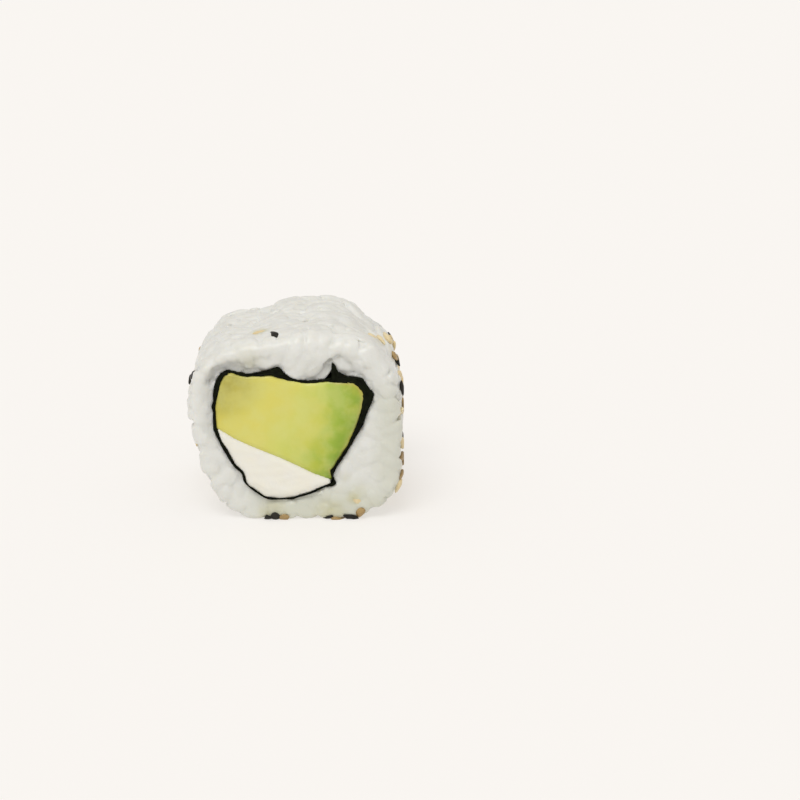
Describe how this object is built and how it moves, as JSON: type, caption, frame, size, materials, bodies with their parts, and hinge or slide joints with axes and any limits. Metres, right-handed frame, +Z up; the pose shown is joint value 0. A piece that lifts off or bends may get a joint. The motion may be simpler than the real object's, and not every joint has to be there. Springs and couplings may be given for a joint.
{
  "type": "uramaki roll",
  "caption": "Uramaki roll piece lying on its side: a thick sesame-dusted rice coat around nori, avocado and cream cheese, with both cut faces open.",
  "frame": {"origin": "middle of the underside, at the bottom centre of the bounding box", "axes": "+Z up, +Y along the roll from the front cut face to the back one, +X to the right when looking at the front cut face, the widest way across"},
  "size_m": [0.0378, 0.0326, 0.0336],
  "materials": {
    "rice": "cooked short-grain rice, moist, translucent white, packed, with pale and black sesame seeds",
    "nori": "damp roasted seaweed sheet, near black with a green tint, wrinkled",
    "avocado": "ripe avocado flesh, cut smooth, yellow in the middle and green towards the skin side",
    "cream_cheese": "soft cream cheese, cut with faint smears"
  },
  "bodies": {
    "root": {"rice": "rice", "nori": "nori", "avocado": "avocado", "cream_cheese": "cream_cheese"}
  },
  "joints": []
}
